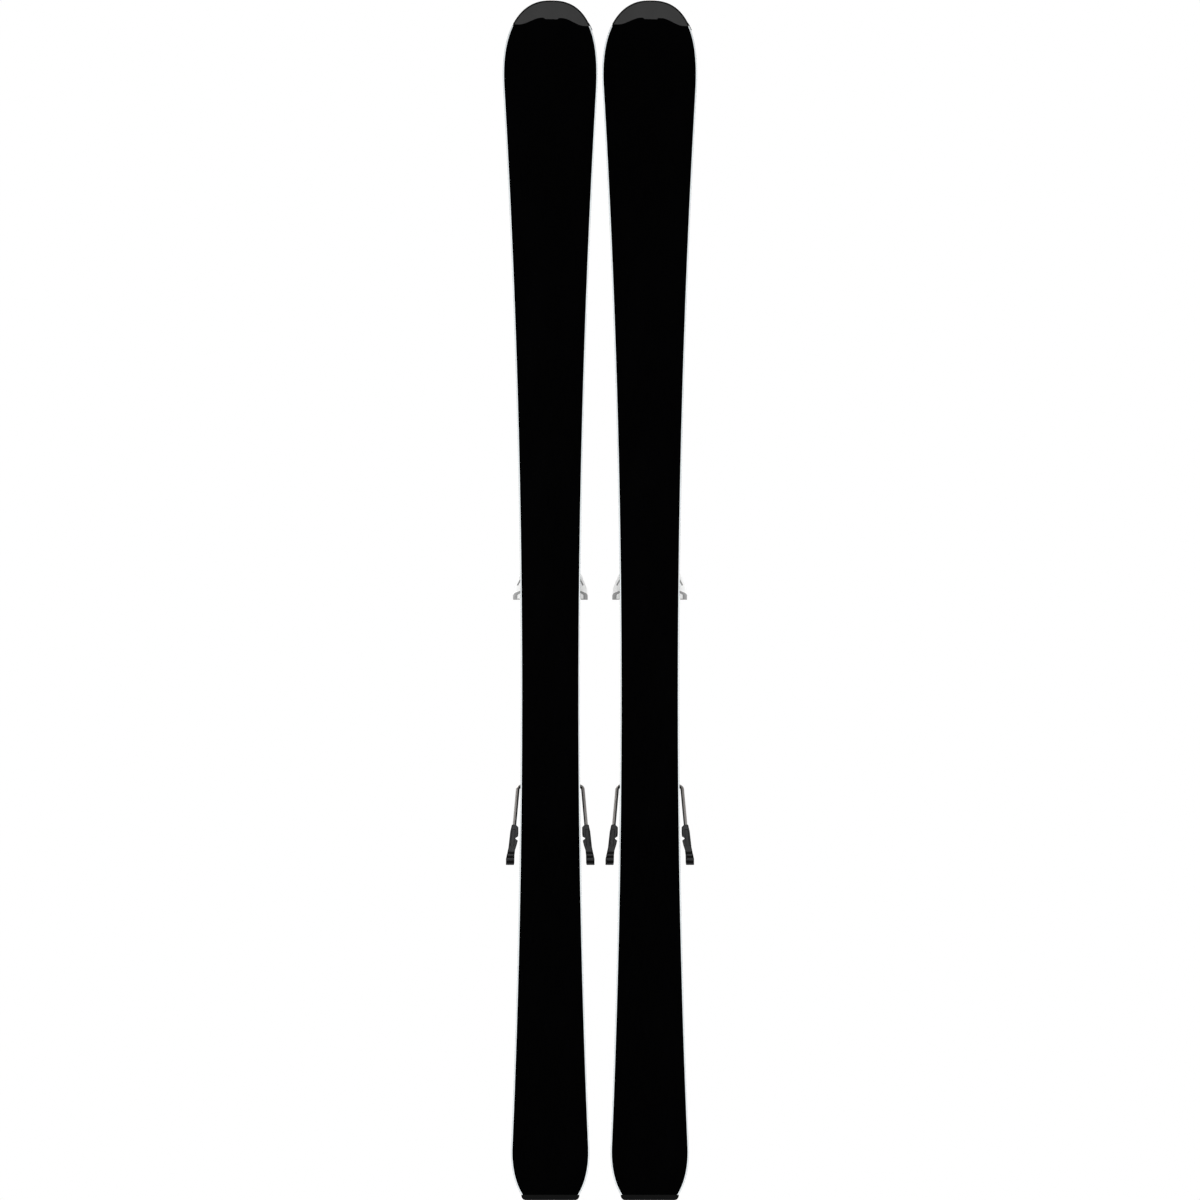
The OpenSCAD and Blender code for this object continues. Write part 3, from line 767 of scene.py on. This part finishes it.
toe_housing()
wing = toe_wing()
place("toe_wing_left", wing, ["wing", "wing_painted_shade"], "wing_l")
place("toe_wing_right", mirrored(wing), ["wing", "wing_painted_shade"], "wing_r")
place("toe_base", moulded(cad_shape("toe_base"), 0.5, 2, 0.3), "chassis", "ski")
place("toe_pins", rounded_edges(cad_shape("toe_pins"), 0.5), "pin", "ski")
place("toe_screw", rounded_edges(cad_shape("toe_screw"), 0.5), "plug", "toe_plug")
place("toe_spring", helix(38.5, 50, 7, 46), "spring", "ski")
place("toe_indicator", rounded_edges(cad_shape("toe_indicator"), 0.5), "indicator", "toe_marker")
place("afd_plate", rounded_edges(cut(cad_shape("afd_plate"), [
    block(-28, 8, y - 0.5, y + 0.5, SOLE_Z - 0.6, SOLE_Z + 1) for y in (-16, -13, 13, 16)
]), 0.5), "afd", "afd")

# ------------------------------------------------------------------ the heel piece

def heel_housing():
    """White shell with slanted side slots and a scale beside its window."""
    cutters = []
    for s in (1, -1):
        for k in range(3):
            x = -309 + 5 * k
            slot = [(x, 52), (x + 2.4, 52), (x - 3.6, 72), (x - 6, 72)]
            cutters.append(prism(round_corners(slot, 1), *span_on(s, 26.2, 40), "y", tint=1))
    for k in range(6):
        x = -333.6 + 3.4 * k
        cutters.append(block(x, x + 0.6, 26.4, 30, 66.3, 68.4 + (0.9 if k % 2 == 0 else 0), tint=1))
    place("heel_housing", cut(moulded(cad_shape("heel_housing"), 0.6, 12), cutters), ["housing", "groove"],
          "heel")


def heel_lever():
    """Black lever with grip grooves across its paddle."""
    grooves = []
    for k in range(5):
        t = k / 4
        x, z = LEVER_PIN[0] - 20 - 16 * t, LEVER_PIN[1] + 22.5 + 9.4 * t
        groove = [(x - 0.9, z - 1.4), (x + 0.9, z - 0.4), (x - 1.6, z + 4), (x - 3.4, z + 3)]
        grooves.append(prism(groove, -13, 13, "y"))
    place("heel_lever", moulded(cut(cad_shape("heel_lever"), grooves), 0.45, 4), "lever", "lever")


heel_housing()
heel_lever()
place("heel_carriage", moulded(cad_shape("heel_carriage"), 0.5, 2, 0.3), "chassis", "carriage")
place("heel_pin", rounded_edges(cad_shape("heel_pin"), 0.5), "pin", "carriage")
place("brake_bracket", moulded(cad_shape("brake_bracket"), 0.4, 2, 0.3), "bracket", "carriage")
place("heel_screw", rounded_edges(cad_shape("heel_screw"), 0.5), "plug", "heel_plug")
place("heel_spring", helix(HEEL_X - 70.5, 56, 8, 62), "spring", "heel")
place("heel_indicator", rounded_edges(cad_shape("heel_indicator"), 0.4), "indicator", "heel_marker")

# ------------------------------------------------------------------ the brake

DEPLOYED = Matrix.Translation((BRAKE_PIN[0] * MM, 0, BRAKE_PIN[1] * MM)) @ Matrix.Rotation(-BRAKE_ANGLE, 4, "Y")


def brake_wire():
    """One bent rod: the pedal's crossbar, two legs, two pivots and two splayed arms, with painted shade, a dark
    steel, on the arms' lower inside.
    """
    b = BEND_R
    half = [(PEDAL_X, 0)] + arc((PEDAL_X - b, PEDAL_Y - b), b, 0, 90)
    half += arc((b, PEDAL_Y + b), b, 270, 180) + arc((-b, ARM_Y - b), b, 0, 90 - SPLAY)
    end, a = half[-1], math.radians(180 - SPLAY)
    half.append((end[0] + WIRE_RUN * math.cos(a), end[1] + WIRE_RUN * math.sin(a)))
    path = [(x, -y, 0) for x, y in half[:0:-1]] + [(x, y, 0) for x, y in half]
    mesh = new_mesh("wire", *tube(path, WIRE_R, 24))
    for polygon in mesh.polygons:
        inward = -polygon.normal.y if polygon.center.y > 0 else polygon.normal.y
        # painted shade: the lower inward-facing faces of the arms take the dark steel slot
        polygon.material_index = int(inward > 0.2 and polygon.normal.z < 0.1 and polygon.center.x < 0)
    mesh.transform(DEPLOYED)
    place("brake_wire", mesh, ["wire", "wire_painted_shade"], "brake", 40)


def brake_pad():
    """The left pad: a flat paddle with a notch and recesses across its tip; its rim band, side walls and recesses
    are near-black as painted shade.
    """
    outline = [
        (68, 43.2), (72, 40), (88, 41.2), (94, 40.3), (106, 43.2), (117, 44.5),
        (124, 45.5), (124, 55.8), (105, 52.5), (79, 50.3), (68, 48.4),
    ]
    h = PAD_T / 2
    body = prism(round_corners([(-x, y) for x, y in outline], 0.5, 4), -h, h)
    recesses = [block(x, x + 3.9, 40, 60, *span_on(s, h - 0.7, 9)) for x in (-122.3, -116) for s in (1, -1)]
    recesses.append(block(-125, -123.3, 40, 60, -2.8, 2.8))
    field = round_corners([(-76, 43.6), (-87, 44.4), (-103, 45.6), (-103, 50.2), (-79, 48.4), (-75, 47.6)], 1)
    recesses += [prism(field, *span_on(s, h - 0.5, 9)) for s in (1, -1)]
    notch = prism([
        (-297.2, 38), (-297.6, 41.3), (-299.6, 44.3), (-302.3, 40.8), (-308, 42.2), (-314.2, 44.2),
        (-320.4, 44.9), (-338, 45.2), (-338, 38),
    ], -70, 10)
    notch.transform(DEPLOYED.inverted())
    mesh = moulded(cut(body, recesses + [notch]), 0.4, 3)
    rim = [Vector((-x, y)) * MM for x, y in outline]
    edge_band, recesses_x, end_x = 1.1 * MM, -108 * MM, -122.9 * MM
    for polygon in mesh.polygons:
        at = polygon.center.xy
        near = min(
            (at - a.lerp(b, min(1, max(0, (at - a).dot(b - a) / (b - a).length_squared)))).length
            for a, b in zip(rim, rim[1:] + rim[:1])
        )
        low = abs(polygon.center.z) < (h - 0.5) * MM and at.x < recesses_x
        # painted shade: the rim band, the side walls and the recess floors take the near-black slot, and at the tip
        # the middle of the end face
        dark = near < edge_band or low or abs(polygon.normal.z) < 0.9
        if at.x < end_x:
            dark = abs(polygon.center.z) < 2.9 * MM
        polygon.material_index = int(dark)
    mesh.transform(DEPLOYED)
    return mesh


brake_wire()
pad = brake_pad()
place("brake_pad_left", pad, ["pad", "pad_painted_shade"], "brake")
place("brake_pad_right", mirrored(pad), ["pad", "pad_painted_shade"], "brake")
place("brake_pedal", moulded(cad_shape("brake_pedal"), 0.4, 3), "pedal", "brake")

# ------------------------------------------------------------------ the one CAD node that keeps its shape

for side in SIDES:
    for s in frame["nodes"][f"{side}_wood_core"].material_slots:
        s.material = M["wood"]

# ------------------------------------------------------------------ camera, floor and light

# The photo looks straight at the running bases, from so far off that perspective doesn't show.
scene = bpy.context.scene
CAMERA_DISTANCE = 40.0
SENSOR = 36.0
FRAMING = 1.0008  # the skis' length as a share of the frame's height

camera = bpy.data.objects.new("camera", bpy.data.cameras.new("camera"))
scene.collection.objects.link(camera)
low, high = CAD_BOX
camera.location = ((low.x + high.x) / 2, (low.y + high.y) / 2, ORIGIN["left"].z - CAMERA_DISTANCE)
camera.rotation_euler = Matrix(((0, 1, 0), (1, 0, 0), (0, 0, -1))).to_euler()
camera.data.sensor_width = SENSOR
camera.data.lens = FRAMING * SENSOR * CAMERA_DISTANCE / (high.x - low.x)
camera.data.clip_start, camera.data.clip_end = 1.0, 400.0
scene.camera = camera


def floor():
    """A wide pale floor under the brake pads, clear when seen from below."""
    size = 150.0
    mesh = bpy.data.meshes.new("floor")
    corners = [(-size, -size, 0), (size, -size, 0), (size, size, 0), (-size, size, 0)]
    mesh.from_pydata(corners, [], [(0, 1, 2, 3)])
    o = bpy.data.objects.new("floor", mesh)
    scene.collection.objects.link(o)
    mat = bpy.data.materials.new("floor")
    mat.use_nodes = True
    nodes, links = mat.node_tree.nodes, mat.node_tree.links
    shader = nodes["Principled BSDF"]
    shader.inputs["Base Color"].default_value = (0.86, 0.86, 0.86, 1)
    shader.inputs["Roughness"].default_value = 0.9
    shader.inputs["Specular IOR Level"].default_value = 0.1
    clear, mix = nodes.new("ShaderNodeBsdfTransparent"), nodes.new("ShaderNodeMixShader")
    facing = nodes.new("ShaderNodeNewGeometry")
    links.new(facing.outputs["Backfacing"], mix.inputs[0])
    links.new(shader.outputs[0], mix.inputs[1])
    links.new(clear.outputs[0], mix.inputs[2])
    links.new(mix.outputs[0], nodes["Material Output"].inputs["Surface"])
    mesh.materials.append(mat)
    o.visible_shadow = False
    o.visible_glossy = False


def area_light(name, at, size, power, glossy=True, aim=(0, 0, 0.05)):
    """A square soft box of size metres, hidden from the camera."""
    data = bpy.data.lights.new(name, "AREA")
    data.shape, data.size, data.energy = "SQUARE", size, power
    o = bpy.data.objects.new(name, data)
    scene.collection.objects.link(o)
    o.location = at
    o.rotation_euler = (Vector(aim) - Vector(at)).to_track_quat("-Z", "Y").to_euler()
    o.visible_camera = False
    o.visible_glossy = glossy


def world():
    """Soft light from above and below, little from the sides; the camera itself sees plain white."""
    w = bpy.data.worlds.new("studio")
    scene.world = w
    w.use_nodes = True
    nodes, links = w.node_tree.nodes, w.node_tree.links
    back = nodes["Background"]
    direction, split = nodes.new("ShaderNodeTexCoord"), nodes.new("ShaderNodeSeparateXYZ")
    links.new(direction.outputs["Generated"], split.inputs[0])
    ramps = []
    for start, end, strength in ((0.0, 0.9, 0.55), (-0.25, -0.85, 0.95)):
        ramp = nodes.new("ShaderNodeMapRange")
        ramp.interpolation_type = "SMOOTHSTEP"
        for key, value in (("From Min", start), ("From Max", end), ("To Min", 0.05), ("To Max", strength)):
            ramp.inputs[key].default_value = value
        links.new(split.outputs["Z"], ramp.inputs["Value"])
        ramps.append(ramp)
    total = nodes.new("ShaderNodeMath")
    links.new(ramps[0].outputs[0], total.inputs[0])
    links.new(ramps[1].outputs[0], total.inputs[1])
    links.new(total.outputs[0], back.inputs["Strength"])
    back.inputs["Color"].default_value = (1, 1, 1, 1)
    seen = nodes.new("ShaderNodeBackground")
    seen.inputs["Color"].default_value = (1, 1, 1, 1)
    path, mix = nodes.new("ShaderNodeLightPath"), nodes.new("ShaderNodeMixShader")
    links.new(path.outputs["Is Camera Ray"], mix.inputs[0])
    links.new(back.outputs[0], mix.inputs[1])
    links.new(seen.outputs[0], mix.inputs[2])
    links.new(mix.outputs[0], nodes["World Output"].inputs["Surface"])


floor()
world()
area_light("key", (1.6, -1.4, 2.2), 1.1, 42)
area_light("fill", (-1.8, 1.8, 1.8), 1.8, 14)
area_light("under_soft", (0.0, 0.0, -2.6), 2.4, 92, glossy=False)
area_light("under_left", (-0.2, 1.7, -0.8), 1.0, 8, aim=(-0.1, 0, 0.05))
area_light("under_right", (-0.2, -1.7, -0.8), 1.0, 8, aim=(-0.1, 0, 0.05))
scene.view_settings.view_transform = "Standard"
